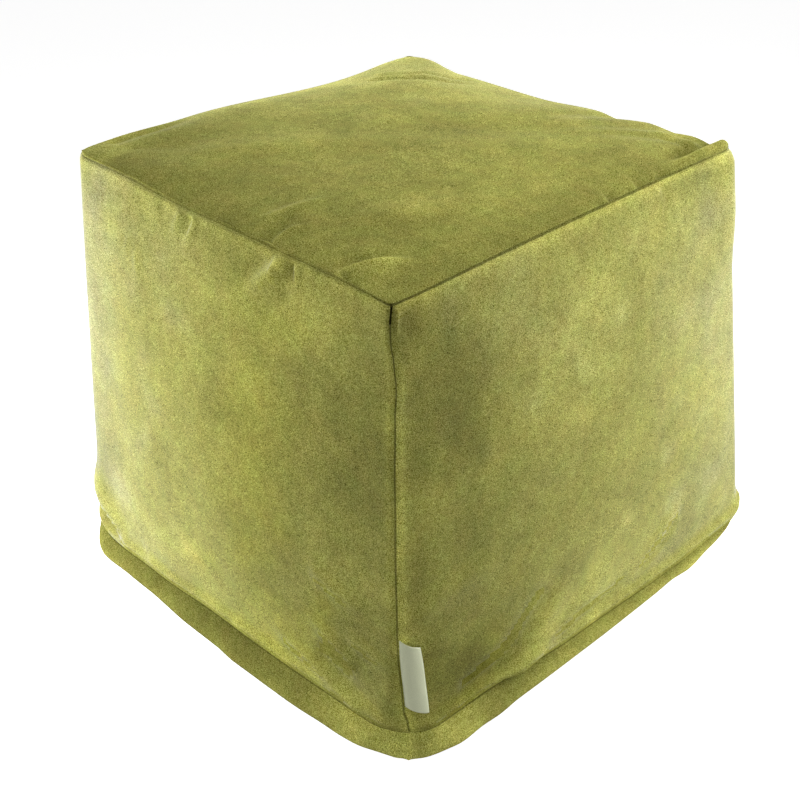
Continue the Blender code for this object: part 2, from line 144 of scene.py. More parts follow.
# Creases: each rises soon after "from" and fades towards "to", swinging "bend" to its left in between. Its
# flanks have their own widths. A height below 0 makes a trough. On a side panel, along runs from the middle
# towards the right edge and up is the height; on the top they are X and Y.
Crease = namedtuple("Crease", "panel from_along from_up to_along to_up bend left_width right_width height")
CREASES = table_of(
    Crease,
    # The front panel: puckers under the top seam
    ("front", -0.029, 0.417, -0.0471, 0.386, 0.002, 0.003, 0.007, 0.0026),
    ("front", -0.037, 0.417, -0.0465, 0.394, 0.0, 0.0034, 0.0034, -0.0026),
    ("front", -0.051, 0.418, -0.06, 0.39, 0.0, 0.005, 0.005, 0.0022),
    ("front", -0.0775, 0.4195, -0.08, 0.406, 0.0, 0.003, 0.003, -0.0014),
    ("front", -0.1306, 0.378, -0.1324, 0.36, 0.0, 0.0022, 0.0022, -0.0012),
    ("front", -0.1262, 0.374, -0.1288, 0.356, 0.0, 0.0028, 0.0028, 0.001),
    ("front", -0.1092, 0.369, -0.1098, 0.34, 0.0, 0.004, 0.005, 0.0013),
    ("front", 0.077, 0.418, 0.075, 0.4, 0.0, 0.0028, 0.0034, 0.0022),
    ("front", 0.089, 0.4187, 0.0405, 0.3764, 0.001, 0.007, 0.006, 0.0044),
    ("front", 0.064, 0.411, 0.03, 0.386, -0.002, 0.006, 0.006, -0.0014),
    ("front", 0.092, 0.417, 0.0983, 0.4, 0.0, 0.0026, 0.0028, -0.003),
    ("front", 0.1, 0.417, 0.103, 0.396, 0.0, 0.0032, 0.004, 0.002),
    ("front", 0.0727, 0.406, 0.085, 0.393, 0.0, 0.0028, 0.0028, 0.0014),
    ("front", 0.083, 0.392, 0.1, 0.389, 0.0, 0.005, 0.005, -0.0014),
    # The front panel: soft folds beside the label, and the fold that hangs over the lower left corner
    ("front", 0.132, 0.166, 0.206, 0.147, -0.003, 0.008, 0.009, 0.0022),
    ("front", 0.19, 0.086, 0.126, 0.116, -0.001, 0.0075, 0.006, 0.0026),
    ("front", 0.176, 0.114, 0.232, 0.103, 0.0, 0.006, 0.007, 0.0014),
    ("front", 0.138, 0.079, 0.204, 0.054, 0.0, 0.011, 0.011, -0.0024),
    ("front", 0.2, 0.04, 0.072, 0.078, -0.002, 0.006, 0.01, 0.003),
    ("front", 0.19, 0.052, 0.234, 0.044, 0.0, 0.004, 0.004, 0.0014),
    ("front", -0.25, 0.098, -0.142, 0.034, -0.006, 0.018, 0.0055, 0.0056),
    ("front", -0.252, 0.081, -0.146, 0.021, -0.006, 0.0055, 0.014, -0.0062),
    # The right panel: the open seam end's pucker, folds over the base seam and fine creases near the back
    ("right", -0.2092, 0.42, -0.2098, 0.396, -0.001, 0.0016, 0.0014, -0.0036),
    ("right", -0.2058, 0.416, -0.208, 0.395, -0.0016, 0.0018, 0.0015, 0.0024),
    ("right", -0.199, 0.412, -0.192, 0.376, 0.0, 0.006, 0.007, -0.0012),
    ("right", 0.109, 0.418, 0.111, 0.4, 0.0, 0.0025, 0.0025, -0.0016),
    ("right", 0.214, 0.424, 0.224, 0.3, 0.0, 0.024, 0.024, 0.0044),
    ("right", -0.224, 0.152, -0.108, 0.162, 0.006, 0.012, 0.014, 0.0022),
    ("right", -0.186, 0.046, -0.064, 0.052, 0.0, 0.012, 0.012, -0.0026),
    ("right", -0.146, 0.024, 0.026, 0.064, -0.002, 0.012, 0.01, 0.0028),
    ("right", -0.142, 0.034, -0.046, 0.12, -0.004, 0.014, 0.016, -0.0026),
    ("right", -0.124, 0.022, -0.034, 0.104, -0.004, 0.01, 0.02, 0.0032),
    ("right", -0.006, 0.04, 0.054, 0.046, 0.0, 0.0028, 0.003, -0.0014),
    ("right", 0.124, 0.071, 0.056, 0.04, 0.004, 0.003, 0.003, -0.0014),
    ("right", 0.07, 0.043, 0.1, 0.063, 0.0, 0.0026, 0.0026, -0.0012),
    ("right", 0.126, 0.074, 0.09, 0.065, 0.0, 0.0025, 0.0025, -0.001),
    ("right", 0.132, 0.088, 0.064, 0.052, 0.0, 0.006, 0.006, 0.0013),
    # The top: ridges from the front seam
    ("top", 0.064, -0.21, 0.0465, -0.162, 0.0, 0.006, 0.006, -0.0028),
    ("top", 0.0664, -0.2085, 0.079, -0.168, 0.007, 0.004, 0.005, 0.003),
    ("top", 0.033, -0.19, 0.048, -0.12, 0.0, 0.005, 0.006, 0.0024),
    ("top", -0.012, -0.131, -0.017, -0.115, 0.0, 0.003, 0.003, 0.0014),
    ("top", 0.1456, -0.211, 0.18, -0.148, 0.0035, 0.0036, 0.008, 0.0056),
    ("top", 0.137, -0.2, 0.162, -0.156, 0.002, 0.005, 0.004, -0.0022),
    # The top: the drawn-in right back corner
    ("top", 0.206, 0.215, 0.206, 0.112, -0.003, 0.0105, 0.0095, 0.0066),
    ("top", 0.184, 0.224, 0.193, 0.12, 0.002, 0.0075, 0.006, -0.0076),
    ("top", 0.188, 0.172, 0.201, 0.154, 0.0, 0.0034, 0.004, -0.003),
    ("top", 0.19, 0.174, 0.123, 0.19, -0.003, 0.0028, 0.003, -0.0026),
    ("top", 0.186, 0.188, 0.14, 0.198, 0.0, 0.006, 0.006, 0.003),
    ("top", 0.2222, 0.085, 0.183, 0.122, 0.002, 0.003, 0.0046, 0.003),
    ("top", 0.221, 0.093, 0.196, 0.118, 0.0, 0.0036, 0.0036, -0.003),
    ("top", 0.214, 0.067, 0.178, 0.085, 0.0, 0.0028, 0.0036, 0.0024),
    ("top", 0.213, 0.075, 0.184, 0.09, 0.0, 0.0036, 0.0036, -0.0018),
    ("top", 0.2224, 0.024, 0.188, 0.043, 0.0, 0.003, 0.004, 0.0024),
    ("top", 0.219, 0.036, 0.19, 0.053, 0.0, 0.005, 0.005, -0.0026),
    # The top: creases across the back left corner, and the hollow behind the left seam
    ("top", -0.165, 0.104, -0.072, 0.194, 0.003, 0.0032, 0.004, -0.0024),
    ("top", -0.172, 0.124, -0.106, 0.194, 0.0, 0.003, 0.0032, -0.0018),
    ("top", -0.1, 0.2, -0.132, 0.176, 0.0, 0.003, 0.003, -0.0016),
    ("top", -0.166, 0.114, -0.098, 0.184, 0.0, 0.005, 0.005, 0.0016),
    ("top", -0.204, -0.184, -0.202, -0.07, 0.0, 0.006, 0.011, -0.0042),
    # The top: broad soft waves
    ("top", 0.09, -0.15, 0.172, 0.0, 0.0, 0.018, 0.018, 0.002),
    ("top", -0.136, -0.15, 0.02, 0.036, 0.0, 0.024, 0.024, 0.0022),
    ("top", 0.09, 0.136, -0.05, -0.016, 0.0, 0.026, 0.026, -0.0022),
    # The back and left panels
    ("back", -0.106, 0.414, -0.114, 0.37, 0.0, 0.0045, 0.006, 0.0024),
    ("back", 0.062, 0.416, 0.054, 0.378, 0.0, 0.005, 0.0045, -0.0022),
    ("back", 0.21, 0.06, 0.09, 0.15, 0.004, 0.014, 0.012, -0.0026),
    ("back", -0.22, 0.05, -0.11, 0.13, -0.004, 0.014, 0.012, 0.0024),
    ("left", 0.092, 0.426, 0.082, 0.376, 0.0, 0.0045, 0.006, 0.0026),
    ("left", -0.218, 0.066, -0.086, 0.148, 0.006, 0.014, 0.014, 0.0026),
    ("left", 0.226, 0.034, 0.11, 0.12, 0.0, 0.012, 0.01, -0.003),
)
SEAM_HOLD = 0.75  # the share of a crease's height that the stitches hold back
SEAM_HOLD_REACH = 0.0030  # of the stitches, to each side
CREASE_RISE = 0.12  # the share of a crease's length over which it rises
CREASE_FADE = 0.55  # and over which it fades

# Stretches of painted light, or of painted shade with a share below 0, that stand in for how the lamps fall
# on the panels. Each fades over its width and height from its middle
PaintedPatch = namedtuple("PaintedPatch", "panel along up width height share")
PAINTED_STRETCHES = table_of(
    PaintedPatch,
    ("front", 0.195, 0.32, 0.035, 0.09, -0.22),
    ("front", 0.117, 0.385, 0.045, 0.035, 0.22),
    ("front", 0.085, 0.33, 0.03, 0.04, 0.18),
    ("front", 0.155, 0.3, 0.03, 0.045, -0.12),
    ("front", 0.03, 0.32, 0.022, 0.026, 0.14),
    ("front", 0.045, 0.255, 0.028, 0.026, -0.14),
    ("front", -0.01, 0.07, 0.17, 0.034, 0.36),
    ("front", 0.14, 0.05, 0.06, 0.022, 0.16),
    ("front", 0.18, 0.095, 0.03, 0.022, -0.18),
    ("front", -0.205, 0.21, 0.03, 0.15, -0.1),
    ("front", -0.218, 0.08, 0.03, 0.044, -0.26),
    ("front", -0.12, 0.1, 0.05, 0.05, 0.26),
    ("front", 0.12, 0.074, 0.036, 0.018, 0.2),
    ("front", 0.13, 0.05, 0.06, 0.01, 0.2),
    ("front", 0.026, 0.288, 0.012, 0.022, 0.14),
    ("front", 0.0753, 0.4123, 0.006, 0.008, 0.24),
    ("front", 0.0814, 0.4125, 0.006, 0.007, 0.36),
    ("front", -0.175, 0.12, 0.036, 0.05, -0.2),
    ("front", -0.0145, 0.1288, 0.03, 0.03, 0.18),
    ("front", 0.236, 0.098, 0.007, 0.034, -0.5),
    ("front", -0.184, 0.412, 0.024, 0.02, -0.14),
    ("front", 0.006, 0.413, 0.016, 0.008, 0.2),
    ("front", -0.033, 0.408, 0.012, 0.01, 0.12),
    ("right", -0.178, 0.35, 0.04, 0.07, -0.24),
    ("right", -0.145, 0.33, 0.02, 0.05, -0.2),
    ("right", -0.16, 0.25, 0.022, 0.06, -0.1),
    ("right", -0.206, 0.394, 0.011, 0.018, -0.24),
    ("right", -0.15, 0.408, 0.04, 0.012, 0.16),
    ("right", -0.12, 0.385, 0.04, 0.025, 0.1),
    ("right", -0.095, 0.345, 0.018, 0.04, 0.16),
    ("right", -0.125, 0.34, 0.01, 0.03, -0.12),
    ("right", -0.053, 0.326, 0.03, 0.03, 0.2),
    ("right", -0.126, 0.171, 0.022, 0.03, 0.14),
    ("right", 0.15, 0.413, 0.05, 0.01, -0.3),
    ("right", 0.086, 0.367, 0.02, 0.025, 0.14),
    ("right", -0.045, 0.4, 0.03, 0.018, 0.16),
    ("right", 0.009, 0.352, 0.026, 0.034, 0.38),
    ("right", -0.128, 0.27, 0.016, 0.035, 0.18),
    ("right", -0.194, 0.255, 0.016, 0.03, 0.14),
    ("right", -0.17, 0.07, 0.054, 0.042, -0.42),
    ("right", -0.1239, 0.0545, 0.03, 0.012, 0.2),
    ("right", -0.209, 0.384, 0.009, 0.016, -0.22),
    ("right", -0.196, 0.409, 0.016, 0.01, -0.2),
    ("right", -0.216, 0.158, 0.01, 0.008, 0.24),
    ("right", -0.1, 0.104, 0.05, 0.022, 0.16),
    ("right", -0.06, 0.03, 0.04, 0.014, 0.2),
    ("right", 0.01, 0.062, 0.085, 0.034, 0.46),
    ("right", 0.004, 0.325, 0.016, 0.022, 0.16),
    ("right", 0.0014, 0.1152, 0.03, 0.03, 0.12),
    ("right", 0.0, 0.212, 0.03, 0.04, 0.1),
    ("right", -0.075, 0.06, 0.03, 0.036, 0.34),
    ("right", 0.2, 0.405, 0.016, 0.016, -0.1),
    ("right", 0.15, 0.33, 0.04, 0.06, -0.1),
    ("right", 0.215, 0.22, 0.03, 0.12, -0.06),
    ("right", -0.04, 0.27, 0.06, 0.05, 0.1),
    ("top", 0.195, 0.03, 0.022, 0.1, -0.14),
    ("top", 0.17, 0.11, 0.05, 0.05, -0.16),
    ("top", 0.08, 0.17, 0.07, 0.04, -0.12),
    ("top", 0.215, 0.155, 0.012, 0.06, -0.3),
    ("top", 0.198, 0.178, 0.008, 0.014, 0.16),
    ("top", 0.224, 0.2, 0.014, 0.02, -0.26),
    ("top", -0.204, 0.0, 0.014, 0.22, 0.4),
    ("top", 0.164, -0.174, 0.018, 0.013, 0.46),
    ("top", 0.112, -0.107, 0.014, 0.014, 0.14),
    ("top", 0.052, -0.148, 0.014, 0.014, 0.12),
    ("top", -0.032, -0.2, 0.016, 0.01, 0.16),
    ("top", -0.05, 0.206, 0.14, 0.012, 0.14),
    ("top", 0.1, -0.195, 0.08, 0.02, 0.16),
    ("top", 0.0, 0.0, 0.05, 0.05, -0.13),
    ("top", -0.2, -0.196, 0.016, 0.014, 0.5),
    ("top", -0.16, 0.12, 0.024, 0.05, 0.16),
    ("top", -0.15, 0.14, 0.05, 0.05, 0.1),
    ("back", 0.12, 0.3, 0.06, 0.08, 0.18),
    ("back", -0.1, 0.14, 0.08, 0.06, -0.2),
    ("left", -0.06, 0.29, 0.07, 0.07, -0.2),
    ("left", 0.13, 0.13, 0.06, 0.06, 0.2),
)
# Painted sheen: where the pile should look paler under the lamps, its blue grows by the share
PAINTED_SHEEN = table_of(
    PaintedPatch,
    ("front", -0.2, 0.3, 0.06, 0.15, 0.72),
    ("front", -0.17, 0.11, 0.06, 0.06, 0.2),
    ("front", -0.08, 0.37, 0.06, 0.06, 0.2),
    ("front", 0.06, 0.23, 0.05, 0.14, -0.2),
    ("front", 0.1, 0.08, 0.06, 0.05, -0.2),
    ("right", 0.21, 0.27, 0.056, 0.14, 0.46),
    ("right", 0.18, 0.09, 0.08, 0.05, 0.14),
    ("right", 0.12, 0.31, 0.06, 0.08, 0.18),
    ("right", 0.0, 0.33, 0.08, 0.08, 0.14),
    ("right", -0.09, 0.37, 0.05, 0.05, 0.16),
    ("right", -0.17, 0.07, 0.06, 0.044, -0.3),
    ("top", -0.15, 0.16, 0.08, 0.06, 0.2),
    ("back", -0.205, 0.27, 0.06, 0.14, 0.4),
    ("left", 0.205, 0.29, 0.06, 0.15, 0.6),
)
# Painted highlight along the seams' rolled edges, by this share within this distance
SeamHighlight = namedtuple("SeamHighlight", "share reach")
UPRIGHT_HIGHLIGHT = {
    "front": SeamHighlight(0.60, 0.007),
    "right": SeamHighlight(0.95, 0.008),
}
BASE_HIGHLIGHT = SeamHighlight(0.40, 0.009)
TOP_HIGHLIGHT = {
    "front": SeamHighlight(0.22, 0.007),
    "right": SeamHighlight(0.34, 0.009),
    "back": SeamHighlight(0.16, 0.008),
    "left": SeamHighlight(0.20, 0.008),
}
# Painted highlight on a crease's crest, and painted shade in its trough
CREST_PAINTED_LIGHT = 55.0  # by how much, to a metre of the crease's height
CREST_LIMITS = (-0.0042, 0.0036)
STRETCH_EDGE = 1.3  # how unevenly a stretch fades
STRETCH_SLOWEST = 0.2  # the least share of its even rate at which it fades
STRETCH_NOISE = 26.0  # to a metre
FLOOR_BOUNCE_LIGHT = 1.20  # painted light of the floor's bounce: how much lighter the base panel's pile looks where it meets the floor
TOP_FADE = 0.080  # over which the painted highlight of the upright edge begins
# Painted light on the base panel, or painted shade with a share below 0, on the way round
BasePaintedLight = namedtuple("BasePaintedLight", "around share")
BASE_PAINTED_LIGHT = table_of(
    BasePaintedLight,
    (0.0, -0.42), (0.35, -0.56), (0.55, -0.58), (0.72, -0.28), (0.88, 0.6), (1.0, 1.15),
    (1.08, 0.5), (1.14, 0.4), (1.25, -0.4), (1.5, -0.14), (1.8, -0.3), (2.0, -0.55),
    (2.5, -0.1), (3.3, 0.05), (4.0, -0.25),
)

# Small puckers along the seams, scattered by a seeded draw
PUCKER_SEED = 7
PUCKER_STEP = 0.034
PUCKER_TURN = 28  # degrees to either side of square to the seam
PUCKER_LENGTHS = (0.014, 0.038)
PUCKER_WIDTHS = (0.0026, 0.0060)
PUCKER_HEIGHTS = {"front": 0.0005, "right": 0.0005, "top": 0.0006, "back": 0.0012, "left": 0.0012}

# Broad unevenness of the filling: how many waves to a metre, and how high they are
Wave = namedtuple("Wave", "per_metre height")
WAVES = (Wave(7.0, 0.0016), Wave(17.0, 0.0007), Wave(42.0, 0.00022))
WAVE_EDGE = 0.022  # nearer to a seam than this they die out

# The label: a ribbon folded at its free edge, with both ends beside the front right seam
LABEL_WIDTH = 0.0205
LABEL_LENGTH = 0.069
LABEL_LOW_END = 0.065
LABEL_DROOP = 0.0105  # how far its free edge hangs down
RIBBON_THICKNESS = 0.00035
LABEL_GAP = 0.0003  # between the two layers
LABEL_CELLS_ACROSS = 26
LABEL_CELLS_UP = 80
LABEL_ROOT = 0.0022  # how far round from the middle of the seam it starts
LABEL_ROOT_OUT = 0.0010  # how far off the panel it starts
LABEL_SPRING = 0.0050  # how far its free edge stands off the panel
LABEL_ARCH = 0.0042  # how far it arches out on the way
LABEL_CURL = 0.12  # the share by which its free corner draws in at the top
LABEL_CURL_FROM = 0.6  # of its length
ARCH_LEAN = 3  # a higher number arches it more evenly, and less towards the seam
PARTED_WITHIN = 1 / 8  # of its width from the fold, where the two layers part
WAY_STEP = 0.006  # how far to each side of a point the way out of the cloth is measured

# The ribbon's weave
THREADS_PER_METRE = 2600.0
RIBS_PER_METRE = 420.0
RIB_WAVER = 0.6
RIB_SHARE = 0.25  # of the threads' tone
RIBBON_TONES = ((0.35, (0.47, 0.50, 0.31, 1)), (0.85, (0.67, 0.70, 0.45, 1)))
RIBBON_ROUGHNESS = 0.45
RIBBON_SHEEN = 0.15
RIBBON_BUMP = 0.0002
RIBBON_BUMP_STRENGTH = 0.6

# The camera: where it stands and how it is turned, in metres and degrees
CAMERA_PLACE = (0.8368, -0.7899, 0.8598)
CAMERA_AZIMUTH = 47.1
CAMERA_ELEVATION = 31.22
CAMERA_ROLL = -1.901
SENSOR = 36.0
LENS = 60.21

# Soft lights, each a square panel that looks at the middle of the stool
Lamp = namedtuple("Lamp", "name azimuth elevation distance side watts")
LAMPS = table_of(
    Lamp,
    ("left_far", -60.0, 5.0, 0.75, 0.5, 6.6),
    ("left_near", -35.0, 5.0, 0.75, 0.5, 4.2),
    ("right_near", 130.0, 5.0, 0.75, 0.5, 4.4),
    ("right_far", 155.0, 5.0, 0.75, 0.5, 4.2),
    ("back", 227.0, 25.0, 0.75, 0.5, 9.6),
    ("high", 137.0, 70.0, 0.75, 0.5, 4.2),
    ("front", 47.0, 14.0, 3.0, 2.0, 30.0),
)
LIT_POINT = (0.0, 0.0, 0.22)
SKY_STRENGTH = 0.07
FLOOR_SIZE = 12.0
FLOOR_GREY = 0.90
FLOOR_GLOW = 0.88  # as white as a lit studio sweep, but it throws no light on the stool

# The velvet, in copies for the sides, top and base with their own sheen, and for the seams and slit. The
# top's lower tone is painted shade
PILE_COLOUR = (0.300, 0.295, 0.066)
Nap = namedtuple("Nap", "name tone sheen")
NAPS = table_of(
    Nap,
    ("velvet_sides", 0.96, 1.00),
    ("velvet_top", 0.74, 0.07),
    ("velvet_base", 0.95, 0.00),
    ("velvet_seam_shade", 0.48, 0.00),
    ("velvet_gap_shade", 0.12, 0.00),
)
ON_SIDE, ON_TOP, ON_BASE, IN_SEAM_SHADE, IN_GAP_SHADE = range(len(NAPS))  # the finish of a face, as its place in NAPS
TOP_PANEL, BAND_PANEL = 4, 5  # the panel of a face, after 0 to 3 for those in SIDES
SEAM_SHADE = 0.0006  # how far from a seam the faces take the painted seam shade
UPRIGHT_SHADE = 0.0008  # the same at the front right seam, which stands open at its top end
GAP_SHADE = 0.0012  # how far from that seam its open slit at the top takes painted shade
TURNED_UNDER = -0.07  # faces of the sides whose outward direction falls below this show no sheen
SHEEN_TINT = (0.76, 0.78, 1.0)
SHEEN_ROUGHNESS = 0.30
# Cloudiness of the pile, as noise of so many features to a metre that changes its tone by this share
Cloud = namedtuple("Cloud", "per_metre detail roughness share")
CLOUDS = (
    Cloud(13.0, 1.0, 0.9, 0.55),
    Cloud(60.0, 3.0, 0.9, 0.90),
)
HUE = Cloud(40.0, 2.0, 0.7, 0.12)  # patches of the pile that turn greener or browner
GRAIN = Cloud(1500.0, 1.0, 0.8, 4.5)  # the tufts of the pile
GRAIN_BLUE = 1.7  # their tips are paler: blue changes this much more
GRAIN_DARKEST = 0.05  # the tone between tufts
PANEL_OFFSET = 3.7  # between the clouds of one panel and those of the next, in metres
PILE_BUMP = 0.00012


def eased(place, places, values):
    """The values at their places, joined by curves that are level at each."""
    segment = np.clip(np.searchsorted(places, place, side="right") - 1, 0, len(places) - 2)
    low, high = places[segment], places[segment + 1]
    share = np.clip((place - low) / (high - low), 0, 1)
    share = share * share * (3 - 2 * share)
    return values[segment] + share * (values[segment + 1] - values[segment])


def smooth_through(values, place):
    """A Catmull-Rom curve through the values, which lie at 0, 1, 2 and so on."""
    values = np.asarray(values, float)
    padded = np.concatenate([[2 * values[0] - values[1]], values, [2 * values[-1] - values[-2]]])
    segment = np.clip(place.astype(int), 0, len(values) - 2)
    t = place - segment
    before, start, end, after = (padded[segment + step] for step in range(4))
    turn = 2 * before - 5 * start + 4 * end - after
    return start + 0.5 * t * (end - before + t * (turn + t * (3 * (start - end) + after - before)))


def line_distance(line, last_line, whole):
    """How far grid line number `line` lies from its seam, when line `last_line` lies `whole` from it."""
    dense = len(NEAR_SEAM) - 1
    near = np.interp(line, np.arange(dense + 1), NEAR_SEAM)
    even = NEAR_SEAM[-1] + (line - dense) / (last_line - dense) * (whole - NEAR_SEAM[-1])
    return np.where(line <= dense, near, even)


class CubeGrid:
    """Where each point of the cube grid lies on the sewn casing, before seams and creases."""

    def __init__(self, points):
        lines = np.rint((points + 0.5) * CELLS)
        self.lines = lines.astype(int)
        flat = lines[:, :2] / HALF_CELLS - 1
        self.flat = flat
        self.ring = np.abs(flat).max(axis=1)
        self.row = lines[:, 2]
        self.on_top = self.row == CELLS
        self.on_base = self.row == 0
        square = flat / np.maximum(self.ring, 1e-9)[:, None]
        x, y = square.T
        # Which side a point belongs to, and where it is on it, from -1 at its left edge to 1
        self.side = np.select([y == -1, x == 1, y == 1], [0, 1, 2], 3)
        self.along = np.select([y == -1, x == 1, y == 1], [x, y, -x], -y)
        self.panels = {
            "front": (flat[:, 1] == -1),
            "right": (flat[:, 0] == 1),
            "back": (flat[:, 1] == 1),
            "left": (flat[:, 0] == -1),
            "top": self.on_top,
        }

    def around(self):
        """The place on the way round, from 0 to 4."""
        return self.side + (self.along + 1) / 2

    def on_seam(self, seam, column):
        """The value of a seam table's column at each point's place on the way round."""
        places = np.array([point.around for point in seam])
        return eased(self.around(), places, np.array([getattr(point, column) for point in seam]))

    def panel_share(self):
        """How far up its side panel a point lies: 0 at the base seam, 1 at the top seam."""
        rows = CELLS - BAND_CELLS
        row = np.clip(self.row - BAND_CELLS, 0, rows)
        whole = HEIGHT - BASE_SEAM[0].height
        from_base = line_distance(np.minimum(row, rows / 2), rows / 2, whole / 2)
        from_top = line_distance(np.minimum(rows - row, rows / 2), rows / 2, whole / 2)
        return np.where(row <= rows / 2, from_base, whole - from_top) / whole

    def side_values(self, shift):
        """Each point's values from SIDES: its own side's, or those of a side further on the way round."""
        table = np.array([SIDES[name] for name in SIDE_NAMES])
        return Side(*table[(self.side + shift) % 4].T)

    def corner_values(self):
        """Each point's values from CORNERS, of the nearest upright edge."""
        table = np.array([CORNERS[name] for name in SIDE_NAMES])
        return Corner(*table[np.where(self.along > 0, self.side, self.side - 1) % 4].T)

    def section(self, share, in_band, grown):
        """(x, y) on a rounded rectangle with bulging sides, and how far away its nearest corner is."""
        own = self.side_values(0)
        neighbour = self.side_values(np.where(self.along > 0, 1, -1))
        corner = self.corner_values()
        out = own.base_out + share * (own.top_out - own.base_out) + grown
        end = neighbour.base_out + share * (neighbour.top_out - neighbour.base_out) + grown
        bulge = own.base_bulge + share * (own.top_bulge - own.base_bulge)
        bulge += 4 * share * (1 - share) * own.middle_bulge
        above = corner.at_top + (1 - share) ** corner.narrowing * (corner.at_base - corner.at_top)
        below = corner.at_base + (1 - self.row / BAND_CELLS) * (corner.at_floor - corner.at_base)
        radius = np.where(in_band, below, above)
        arc = math.pi / 4 * radius
        line = (1 - np.abs(self.along)) * HALF_CELLS
        from_corner = line_distance(line, HALF_CELLS, arc + end - radius)
        angle = np.maximum(math.pi / 4 - from_corner / radius, 0)
        along = end - radius + radius * np.sin(angle) - np.maximum(from_corner - arc, 0)
        out = out - radius + radius * np.cos(angle) + bulge * (1 - (along / end) ** 2)
        along = along * np.sign(self.along)
        x = np.select([self.side == 0, self.side == 1, self.side == 2], [along, out, -along], -out)
        y = np.select([self.side == 0, self.side == 1, self.side == 2], [-out, along, out], -along)
        return x, y, from_corner

    def seam_shift(self, z, from_corner):
        """How far the cloth beside the front right seam moves with it, round the edge."""
        heights, shifts = np.array(FRONT_RIGHT_SEAM).T
        at_edge = ((self.side == 0) & (self.along > 0)) | ((self.side == 1) & (self.along < 0))
        shift = eased(z, heights, shifts) * np.exp(-((from_corner / SHIFT_SPREAD) ** 2))
        return np.where(at_edge & ~self.on_base, shift * self.ring**RING_POWER, 0)

    def place(self):
        """(x, y, z) of every point, with its distances from the seams."""
        share = self.panel_share()
        top_height = self.on_seam(TOP_SEAM, "height")
        seam_height = self.on_seam(BASE_SEAM, "height")
        panel_height = top_height - seam_height
        below_top = np.where(self.on_top, 0, (1 - share) * panel_height)
        above_base = share * panel_height

        # The rounding over the top seam, which lies at its middle: the angle is 0 where it meets the side
        angle = np.maximum(math.pi / 4 - below_top / EDGE_RADIUS, 0)
        inset = EDGE_RADIUS * (1 - np.cos(angle))
        lip = LIP_OUT * np.exp(-(((above_base - LIP_HEIGHT) / LIP_SPREAD) ** 2))
        from_seam = 1 - np.clip(self.row / BAND_CELLS, 0, 1)
        place_in_band = (1 - from_seam**BAND_EASE) * (len(BAND) - 1)
        out = smooth_through([point.out for point in BAND], place_in_band)
        up = smooth_through([point.up for point in BAND], place_in_band)
        out = out - (1 - up) * (self.on_seam(BASE_SEAM, "tucked") - self.on_seam(FLOOR_EDGE, "out"))
        in_band = self.row < BAND_CELLS
        grown = np.where(in_band, out, np.where(self.on_top, 0, lip) - inset)
        x, y, from_corner = self.section(share, in_band, grown)
        z = np.where(in_band, up * seam_height, seam_height + above_base)

        # The top: an even grid in the middle that turns into rings of the seam's outline near its edge
        inwards = line_distance((1 - self.ring) * HALF_CELLS, HALF_CELLS, TOP_HALF)
        scale = np.where(self.on_top, 1 - inwards / TOP_HALF, np.where(self.on_base, self.ring, 1))
        even = TOP_HALF - line_distance((1 - np.abs(self.flat)) * HALF_CELLS, HALF_CELLS, TOP_HALF)
        even = even * np.sign(self.flat)
        ringed = np.where(self.on_top, self.ring**RING_POWER, 1)
        x = ringed * x * scale + (1 - ringed) * even[:, 0]
        y = ringed * y * scale + (1 - ringed) * even[:, 1]
        angle = np.minimum(math.pi / 4 + inwards / EDGE_RADIUS, math.pi / 2)
        over_edge = EDGE_RADIUS * (np.sin(angle) - math.sin(math.pi / 4))
        across, deep = (np.minimum(np.abs(place / TOP_HALF), 1) for place in (x, y))
        crown = CROWN * (1 - across**CROWN_POWER) * (1 - deep**CROWN_POWER)
        uneven = (top_height - HEIGHT) * np.exp(-((inwards / SEAM_REACH) ** 2))
        z = np.where(self.on_top, HEIGHT + uneven + over_edge + crown, z)

        shift = self.seam_shift(z, from_corner) / math.sqrt(2)
        from_top_seam = np.where(self.on_top, inwards, below_top)
        band_drop = np.where(in_band, (1 - up) * seam_height, above_base)
        from_base_seam = np.where(self.on_top, 1, band_drop)
        upright = np.where(self.on_top | in_band, 1, from_corner)
        distances = FromSeam(from_top_seam, from_base_seam, upright)
        return np.column_stack([x + shift, y + shift, z]), distances


def seam_groove(distances, points):
    nearest = np.minimum.reduce(distances)
    valley = SEAM_DEPTH * np.clip(1 - nearest / SEAM_HALF_WIDTH, 0, 1) ** 2
    drawn = DRAWN_DEPTH * np.exp(-nearest / DRAWN_WIDTH)
    at_front_edge = (points[:, 0] > 0) & (points[:, 1] < 0)
    in_slit = np.where(at_front_edge, np.clip(1 - distances.top / SLIT_LENGTH, 0, 1), 0)
    slit = SLIT_DEPTH * np.sqrt(in_slit) * np.clip(1 - distances.upright / SEAM_HALF_WIDTH, 0, 1)
    return -(valley + drawn + slit)


def panel_coordinates(panel, points):
    x, y, z = points.T
    return {"front": (x, z), "right": (y, z), "back": (-x, z), "left": (-y, z), "top": (x, y)}[panel]


def crease_height(crease, points):
    along, up = panel_coordinates(crease.panel, points)
    run, rise = crease.to_along - crease.from_along, crease.to_up - crease.from_up
    length = math.hypot(run, rise)
    run, rise = run / length, rise / length
    along, up = along - crease.from_along, up - crease.from_up
    place = (along * run + up * rise) / length
    within = np.clip(place, 0, 1)
    left = up * run - along * rise - 4 * crease.bend * within * (1 - within)
    width = np.where(left > 0, crease.left_width, crease.right_width)
    strength = np.clip(place / CREASE_RISE, 0, 1) * np.clip((1 - place) / CREASE_FADE, 0, 1)
    strength = strength * strength * (3 - 2 * strength)
    return crease.height * strength * np.exp(-((left / width) ** 2))


